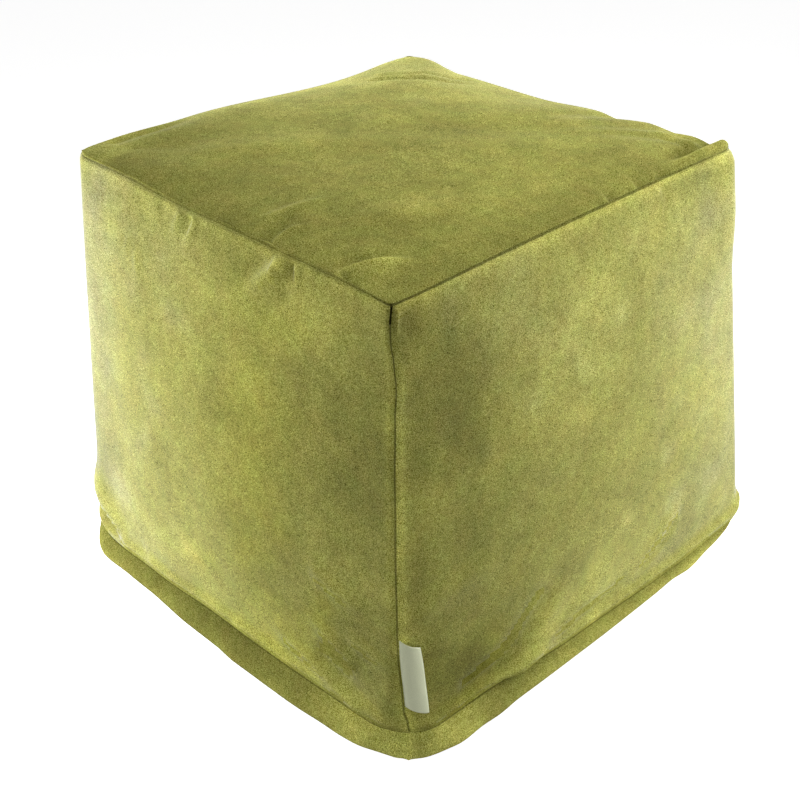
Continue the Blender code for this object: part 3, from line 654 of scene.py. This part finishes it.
def seam_puckers():
    """Small creases that start at the seams and run into the panels."""
    drawn = np.random.default_rng(PUCKER_SEED)
    top, base = HEIGHT, BASE_SEAM[0].height
    edge = TOP_HALF
    puckers = []
    for panel, height in PUCKER_HEIGHTS.items():
        if panel == "top":
            starts = ((-edge, 0), (edge, 180), (-edge, 90), (edge, 270))
        else:
            starts = ((top, 270), (base, 90))
        for level, heading in starts:
            for place in np.arange(-edge + PUCKER_STEP / 2, edge, PUCKER_STEP):
                along = place + drawn.uniform(-0.5, 0.5) * PUCKER_STEP
                turned = math.radians(heading + drawn.uniform(-PUCKER_TURN, PUCKER_TURN))
                length = drawn.uniform(*PUCKER_LENGTHS)
                width = drawn.uniform(*PUCKER_WIDTHS)
                size = height * drawn.uniform(-1, 1)
                start = (level, along) if heading in (0, 180) else (along, level)
                end = (start[0] + length * math.cos(turned), start[1] + length * math.sin(turned))
                puckers.append(Crease(panel, *start, *end, 0.0, width, width, size))
    return puckers


def waves(points):
    heights = np.zeros(len(points))
    for number, wave in enumerate(WAVES):
        offset = Vector((number, 0, 0))
        places = (Vector(point) * wave.per_metre + offset for point in points)
        heights += wave.height * np.array([noise.noise(place) for place in places])
    return heights


def cube_grid_mesh():
    bm = bmesh.new()
    bmesh.ops.create_cube(bm, size=1.0)
    bmesh.ops.subdivide_edges(bm, edges=bm.edges[:], cuts=CELLS - 1, use_grid_fill=True)
    mesh = bpy.data.meshes.new("velvet_casing")
    bm.to_mesh(mesh)
    bm.free()
    return mesh


def mesh_points(mesh):
    points = np.empty(len(mesh.vertices) * 3, np.float32)
    mesh.vertices.foreach_get("co", points)
    return points.reshape(-1, 3).astype(float)


def set_points(mesh, points):
    mesh.vertices.foreach_set("co", points.astype(np.float32).ravel())
    mesh.update()


def set_attribute(mesh, name, values):
    attribute = mesh.attributes.new(name, "FLOAT", "POINT")
    attribute.data.foreach_set("value", values.astype(np.float32))


def add_object(name, mesh, *finishes):
    made = bpy.data.objects.new(name, mesh)
    for finish in finishes:
        mesh.materials.append(finish)
    mesh.shade_smooth()
    bpy.context.scene.collection.objects.link(made)
    return made


def dress_faces(mesh, grid, points, distances):
    """Gives every face corner its place on its own panel's cloth, in metres, and every face its finish."""
    corner_vertex = np.empty(len(mesh.loops), np.int32)
    mesh.loops.foreach_get("vertex_index", corner_vertex)
    # The panel of a face is told from the grid: all its corners lie on one side of the cube
    face_corners = corner_vertex.reshape(-1, 4)
    lines = grid.lines[face_corners]
    low, high = lines.min(axis=1), lines.max(axis=1)
    in_band = high[:, 2] <= BAND_CELLS
    panel = np.select(
        [low[:, 2] == CELLS, in_band, high[:, 1] == 0, low[:, 0] == CELLS, low[:, 1] == CELLS],
        [TOP_PANEL, BAND_PANEL, 0, 1, 2],
        3,
    )
    nap = points[face_corners] + panel[:, None, None] * PANEL_OFFSET
    attribute = mesh.attributes.new("nap", "FLOAT_VECTOR", "CORNER")
    attribute.data.foreach_set("vector", nap.astype(np.float32).ravel())
    from_top, from_base, from_upright = (distance[face_corners].max(axis=1) for distance in distances)
    front_edge = (points[face_corners, 0].min(axis=1) > 0) & (points[face_corners, 1].max(axis=1) < 0)
    upright_shade = np.where(front_edge, UPRIGHT_SHADE, SEAM_SHADE)
    # The open slit takes the darkest finish: painted shade
    in_gap_shade = front_edge & (from_upright < GAP_SHADE) & (from_top < SLIT_LENGTH)
    on_band = panel == BAND_PANEL
    # The band's row just under the base seam's lip takes the seam finish: a painted shadow
    shade_under_lip = on_band & (low[:, 2] == BAND_CELLS - 1)
    in_seam_shade = (np.minimum(from_top, from_base) < SEAM_SHADE) | (from_upright < upright_shade) | shade_under_lip
    facing = np.empty(len(mesh.polygons) * 3, np.float32)
    mesh.polygons.foreach_get("normal", facing)
    turned_under = (panel < TOP_PANEL) & (facing[2::3] < TURNED_UNDER)
    finish = np.select(
        [in_gap_shade, in_seam_shade, panel == TOP_PANEL, on_band | turned_under],
        [IN_GAP_SHADE, IN_SEAM_SHADE, ON_TOP, ON_BASE],
        ON_SIDE,
    )
    mesh.polygons.foreach_set("material_index", finish.astype(np.int32))


def stretches(patches, grid, points):
    """The sum of the patches' shares at each point."""
    uneven = np.array([noise.noise(Vector(point) * STRETCH_NOISE) for point in points])
    total = np.zeros(len(points))
    for patch in patches:
        along, up = panel_coordinates(patch.panel, points)
        distance = ((along - patch.along) / patch.width) ** 2 + ((up - patch.up) / patch.height) ** 2
        strength = np.exp(-distance * np.maximum(1 + STRETCH_EDGE * uneven, STRETCH_SLOWEST))
        total += np.where(grid.panels[patch.panel] & (grid.row >= BAND_CELLS), patch.share * strength, 0)
    return total


def painted_light_and_shade(grid, points, distances, creased):
    """Painted light and shade at each point: lighter on crease crests and darker in troughs, painted
    highlights along the seams, the painted stretches, and painted light on the base panel.
    """
    lighter = CREST_PAINTED_LIGHT * np.clip(creased, *CREST_LIMITS) + stretches(PAINTED_STRETCHES, grid, points)
    # Painted highlight along the top seams, the base seam and the front right seam
    for panel, highlight in TOP_HIGHLIGHT.items():
        highlighted = highlight.share * np.exp(-((distances.top / highlight.reach) ** 2))
        lighter += np.where(grid.panels[panel] & ~grid.on_top, highlighted, 0)
    on_side = ~grid.on_top & (grid.row >= BAND_CELLS)
    highlighted = BASE_HIGHLIGHT.share * np.exp(-((distances.base / BASE_HIGHLIGHT.reach) ** 2))
    lighter += np.where(on_side, highlighted, 0)
    at_front_edge = (points[:, 0] > 0) & (points[:, 1] < 0) & on_side
    below_top = np.clip(distances.top / TOP_FADE, 0, 1)
    for panel, highlight in UPRIGHT_HIGHLIGHT.items():
        highlighted = highlight.share * np.exp(-((distances.upright / highlight.reach) ** 2)) * below_top
        lighter += np.where(at_front_edge & (grid.side == SIDE_NAMES.index(panel)), highlighted, 0)
    # Painted light and shade on the base panel, lightest where the floor would throw light up
    on_band = grid.on_seam(BASE_PAINTED_LIGHT, "share") + FLOOR_BOUNCE_LIGHT * (1 - grid.row / BAND_CELLS) ** 2
    return 1 + lighter + np.where(grid.row < BAND_CELLS, on_band, 0)


def make_body():
    mesh = cube_grid_mesh()
    grid = CubeGrid(mesh_points(mesh))
    points, distances = grid.place()
    set_points(mesh, points)
    normals = np.empty(len(points) * 3, np.float32)
    mesh.vertex_normals.foreach_get("vector", normals)
    normals = normals.reshape(-1, 3)
    nearest = np.minimum.reduce(distances)
    creased = np.zeros(len(points))
    above_band = grid.row >= BAND_CELLS
    for crease in (*CREASES, *seam_puckers()):
        creased += np.where(grid.panels[crease.panel] & above_band, crease_height(crease, points), 0)
    creased *= 1 - SEAM_HOLD * np.exp(-((nearest / SEAM_HOLD_REACH) ** 2))
    raised = waves(points) * (1 - np.exp(-((nearest / WAVE_EDGE) ** 2))) + creased
    raised += seam_groove(distances, points)
    # The flat underside stays flat
    raised *= np.clip(grid.row / RISING_CELLS, 0, 1)
    points = points + normals * raised[:, None]
    set_points(mesh, points)
    body = add_object("velvet_casing", mesh, *(velvet(nap) for nap in NAPS))
    dress_faces(mesh, grid, points, distances)
    set_attribute(mesh, "painted_light", painted_light_and_shade(grid, points, distances, creased))
    # The painted sheen, carried in the pile's blue
    set_attribute(mesh, "painted_sheen", 1 + stretches(PAINTED_SHEEN, grid, points))
    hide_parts("pouf_body")
    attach(body, "root")
    return body, grid


class Shader:
    """A material's node tree, with short ways to add and join its nodes."""

    def __init__(self, name):
        self.material = bpy.data.materials.new(name)
        self.material.use_nodes = True
        self.tree = self.material.node_tree
        self.surface = self.tree.nodes["Principled BSDF"]

    def add(self, kind, **inputs):
        node = self.tree.nodes.new(kind)
        for name, value in inputs.items():
            self.put(node, name.replace("_", " "), value)
        return node

    def put(self, node, name, value):
        self.feed(node.inputs[name], value)

    def feed(self, socket, value):
        if isinstance(value, bpy.types.NodeSocket):
            self.tree.links.new(value, socket)
        else:
            socket.default_value = value

    def attribute(self, name, output):
        node = self.add("ShaderNodeAttribute")
        node.attribute_name = name
        return node.outputs[output]

    def noise(self, place, scale, detail, roughness=0.5):
        inputs = {"Vector": place, "Scale": scale, "Detail": detail, "Roughness": roughness}
        return self.add("ShaderNodeTexNoise", **inputs).outputs["Fac"]

    def cloud(self, place, cloud):
        return self.noise(place, cloud.per_metre, cloud.detail, cloud.roughness)

    def calculate(self, operation, first, second, third=0.0):
        node = self.tree.nodes.new("ShaderNodeMath")
        node.operation = operation
        for socket, value in zip(node.inputs, (first, second, third)):
            self.feed(socket, value)
        return node.outputs["Value"]

    def bump(self, height, strength=1.0):
        node = self.add("ShaderNodeBump", Height=height, Distance=1.0, Strength=strength)
        self.put(self.surface, "Normal", node.outputs["Normal"])

    def ramp(self, value, stops):
        node = self.tree.nodes.new("ShaderNodeValToRGB")
        self.tree.links.new(value, node.inputs["Fac"])
        elements = node.color_ramp.elements
        while len(elements) < len(stops):
            elements.new(1.0)
        for element, (place, colour) in zip(elements, stops):
            element.position = place
            element.color = colour
        return node.outputs["Color"]


def pile_colour(shader, nap, place, tufts):
    """The pile's colour from the nap's tone, its painted light and shade, its clouds, its painted sheen and
    its tufts.
    """
    # The tone carries the painted light and shade
    tone = shader.calculate("MULTIPLY", shader.attribute("painted_light", "Fac"), nap.tone)
    for cloud in CLOUDS:
        patches = shader.cloud(place, cloud)
        patches = shader.calculate("MULTIPLY_ADD", patches, cloud.share, 1 - cloud.share / 2)
        tone = shader.calculate("MULTIPLY", patches, tone)
    hue = shader.cloud(place, HUE)
    red = shader.calculate("MULTIPLY_ADD", hue, HUE.share, 1 - HUE.share / 2)
    green = shader.calculate("MULTIPLY_ADD", hue, -HUE.share, 1 + HUE.share / 2)
    # The blue carries the painted sheen
    blue = shader.attribute("painted_sheen", "Fac")
    colour = shader.tree.nodes.new("ShaderNodeCombineColor")
    channels = zip(colour.inputs, PILE_COLOUR, (red, green, blue), (1, 1, GRAIN_BLUE))
    for socket, full, turned, strength in channels:
        grain = shader.calculate("MULTIPLY_ADD", tufts, GRAIN.share * strength, 1.0)
        grain = shader.calculate("MAXIMUM", grain, GRAIN_DARKEST)
        shade = shader.calculate("MULTIPLY", tone, full)
        shade = shader.calculate("MULTIPLY", shade, grain)
        shader.feed(socket, shader.calculate("MULTIPLY", shade, turned))
    return colour.outputs["Color"]


def velvet(nap):
    shader = Shader(nap.name)
    place = shader.attribute("nap", "Vector")
    tufts = shader.calculate("SUBTRACT", shader.cloud(place, GRAIN), 0.5)
    shader.put(shader.surface, "Base Color", pile_colour(shader, nap, place, tufts))
    shader.put(shader.surface, "Roughness", 1.0)
    shader.put(shader.surface, "Specular IOR Level", 0.0)
    shader.put(shader.surface, "Sheen Weight", nap.sheen)
    shader.put(shader.surface, "Sheen Roughness", SHEEN_ROUGHNESS)
    shader.put(shader.surface, "Sheen Tint", (*SHEEN_TINT, 1))
    shader.bump(shader.calculate("MULTIPLY", tufts, PILE_BUMP))
    return shader.material


def ribbon():
    shader = Shader("label_ribbon")
    place = shader.add("ShaderNodeTexCoord").outputs["Object"]
    threads = shader.noise(place, THREADS_PER_METRE, 2.0)
    ribs = shader.add("ShaderNodeTexWave", Vector=place, Scale=RIBS_PER_METRE, Distortion=RIB_WAVER)
    ribs.bands_direction = "Z"
    tone = shader.calculate("MULTIPLY_ADD", ribs.outputs["Fac"], RIB_SHARE, threads)
    shader.put(shader.surface, "Base Color", shader.ramp(tone, RIBBON_TONES))
    shader.put(shader.surface, "Roughness", RIBBON_ROUGHNESS)
    shader.put(shader.surface, "Sheen Weight", RIBBON_SHEEN)
    shader.bump(shader.calculate("MULTIPLY", tone, RIBBON_BUMP), RIBBON_BUMP_STRENGTH)
    return shader.material


def right_panel_surface(body, grid):
    """The points of the right panel beside the front right seam, as [line from the seam, row up]."""
    points = mesh_points(body.data)
    surface = np.zeros((HALF_CELLS, CELLS + 1, 3))
    wanted = (grid.lines[:, 0] == CELLS) & (grid.lines[:, 1] < HALF_CELLS)
    surface[grid.lines[wanted, 1], grid.lines[wanted, 2]] = points[wanted]
    return surface


def point_on_surface(surface, height, distance):
    """The point of the surface at this height and this far from the seam, and the way out of it."""
    level = []
    for line in surface:
        rows = line[BAND_CELLS:]
        level.append([np.interp(height, rows[:, 2], rows[:, axis]) for axis in range(2)])
    level = np.array(level)
    steps = np.linalg.norm(np.diff(level, axis=0), axis=1)
    passed = np.concatenate([[0], np.cumsum(steps)])
    place = np.array([np.interp(distance, passed, level[:, axis]) for axis in range(2)])
    before, after = max(distance - WAY_STEP, 0), distance + WAY_STEP
    along = np.array([np.interp(after, passed, line) for line in level.T])
    along = along - np.array([np.interp(before, passed, line) for line in level.T])
    along = along / np.linalg.norm(along)
    return place, np.array([along[1], -along[0]])


def make_label(finish, body, grid):
    """Both layers of the folded ribbon as one strip: out to the free edge, round the fold and back."""
    surface = right_panel_surface(body, grid)
    bm = bmesh.new()
    bmesh.ops.create_grid(bm, x_segments=2 * LABEL_CELLS_ACROSS, y_segments=LABEL_CELLS_UP, size=0.5)
    apart = (RIBBON_THICKNESS + LABEL_GAP) / 2
    for vertex in bm.verts:
        strip, up = 2 * vertex.co.x, vertex.co.y + 0.5
        across = 1 - abs(strip)
        height = LABEL_LOW_END + up * LABEL_LENGTH
        root, root_out = point_on_surface(surface, height, LABEL_ROOT)
        drawn_in = 1 - LABEL_CURL * max(0, (up - LABEL_CURL_FROM) / (1 - LABEL_CURL_FROM)) ** 2
        edge, edge_out = point_on_surface(surface, height, LABEL_WIDTH * drawn_in)
        root, edge = root + root_out * LABEL_ROOT_OUT, edge + edge_out * LABEL_SPRING
        way_out = np.array([edge[1] - root[1], root[0] - edge[0]])
        way_out = way_out / np.linalg.norm(way_out)
        arch = LABEL_ARCH * 4 * across * (1 - across) * (1 - across / ARCH_LEAN)
        # The layers part from the fold inwards, like a narrow loop
        parted = apart * math.copysign(math.sqrt(min(1.0, abs(strip) / PARTED_WITHIN)), strip)
        vertex.co.xy = root + (edge - root) * across + way_out * (arch + parted)
        vertex.co.z = height - LABEL_DROOP * across
    mesh = bpy.data.meshes.new("woven_label")
    bm.to_mesh(mesh)
    bm.free()
    label = add_object("woven_label", mesh, finish)
    thickness = label.modifiers.new("thickness", "SOLIDIFY")
    thickness.thickness = RIBBON_THICKNESS
    thickness.offset = 0.0
    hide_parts("seam_label")
    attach(label, "root")


def way_towards(azimuth, elevation):
    """The direction at these angles in degrees: azimuth 0 is the front, 90 the right."""
    azimuth, elevation = math.radians(azimuth), math.radians(elevation)
    level = math.cos(elevation)
    return Vector((math.sin(azimuth) * level, -math.cos(azimuth) * level, math.sin(elevation)))


def make_camera():
    azimuth = math.radians(CAMERA_AZIMUTH)
    back = way_towards(CAMERA_AZIMUTH, CAMERA_ELEVATION)
    right = Vector((math.cos(azimuth), math.sin(azimuth), 0))
    up = back.cross(right)
    turned = Matrix((right, up, back)).transposed() @ Matrix.Rotation(math.radians(CAMERA_ROLL), 3, "Z")
    data = bpy.data.cameras.new("camera")
    data.sensor_width = SENSOR
    data.lens = LENS
    camera = bpy.data.objects.new("camera", data)
    camera.matrix_world = Matrix.Translation(CAMERA_PLACE) @ turned.to_4x4()
    bpy.context.scene.collection.objects.link(camera)
    bpy.context.scene.camera = camera


def make_lamp(lamp):
    way = way_towards(lamp.azimuth, lamp.elevation)
    data = bpy.data.lights.new(lamp.name, "AREA")
    data.shape = "SQUARE"
    data.size = lamp.side
    data.energy = lamp.watts
    made = bpy.data.objects.new(lamp.name, data)
    made.location = Vector(LIT_POINT) + way * lamp.distance
    made.rotation_euler = way.to_track_quat("Z", "Y").to_euler()
    bpy.context.scene.collection.objects.link(made)


def make_sky():
    world = bpy.data.worlds.new("sky")
    world.use_nodes = True
    background = world.node_tree.nodes["Background"]
    background.inputs["Color"].default_value = WHITE
    background.inputs["Strength"].default_value = SKY_STRENGTH
    bpy.context.scene.world = world


def make_floor():
    bm = bmesh.new()
    bmesh.ops.create_grid(bm, x_segments=1, y_segments=1, size=FLOOR_SIZE / 2)
    mesh = bpy.data.meshes.new("floor")
    bm.to_mesh(mesh)
    bm.free()
    shader = Shader("pale_floor")
    shader.put(shader.surface, "Base Color", (FLOOR_GREY, FLOOR_GREY, FLOOR_GREY, 1))
    shader.put(shader.surface, "Roughness", 1.0)
    shader.put(shader.surface, "Specular IOR Level", 0.0)
    shader.put(shader.surface, "Emission Color", WHITE)
    shader.put(shader.surface, "Emission Strength", FLOOR_GLOW)
    floor = add_object("floor", mesh, shader.material)
    floor.visible_diffuse = False


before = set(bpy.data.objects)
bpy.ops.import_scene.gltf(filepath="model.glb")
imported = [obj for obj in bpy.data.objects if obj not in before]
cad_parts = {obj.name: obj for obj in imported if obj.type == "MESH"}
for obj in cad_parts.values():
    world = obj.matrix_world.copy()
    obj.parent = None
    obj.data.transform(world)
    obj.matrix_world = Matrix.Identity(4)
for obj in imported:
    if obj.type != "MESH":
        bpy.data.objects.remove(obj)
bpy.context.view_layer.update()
make_camera()
for one_lamp in LAMPS:
    make_lamp(one_lamp)
make_sky()
make_floor()
casing, casing_grid = make_body()
make_label(ribbon(), casing, casing_grid)
bpy.context.scene.view_settings.view_transform = "Standard"
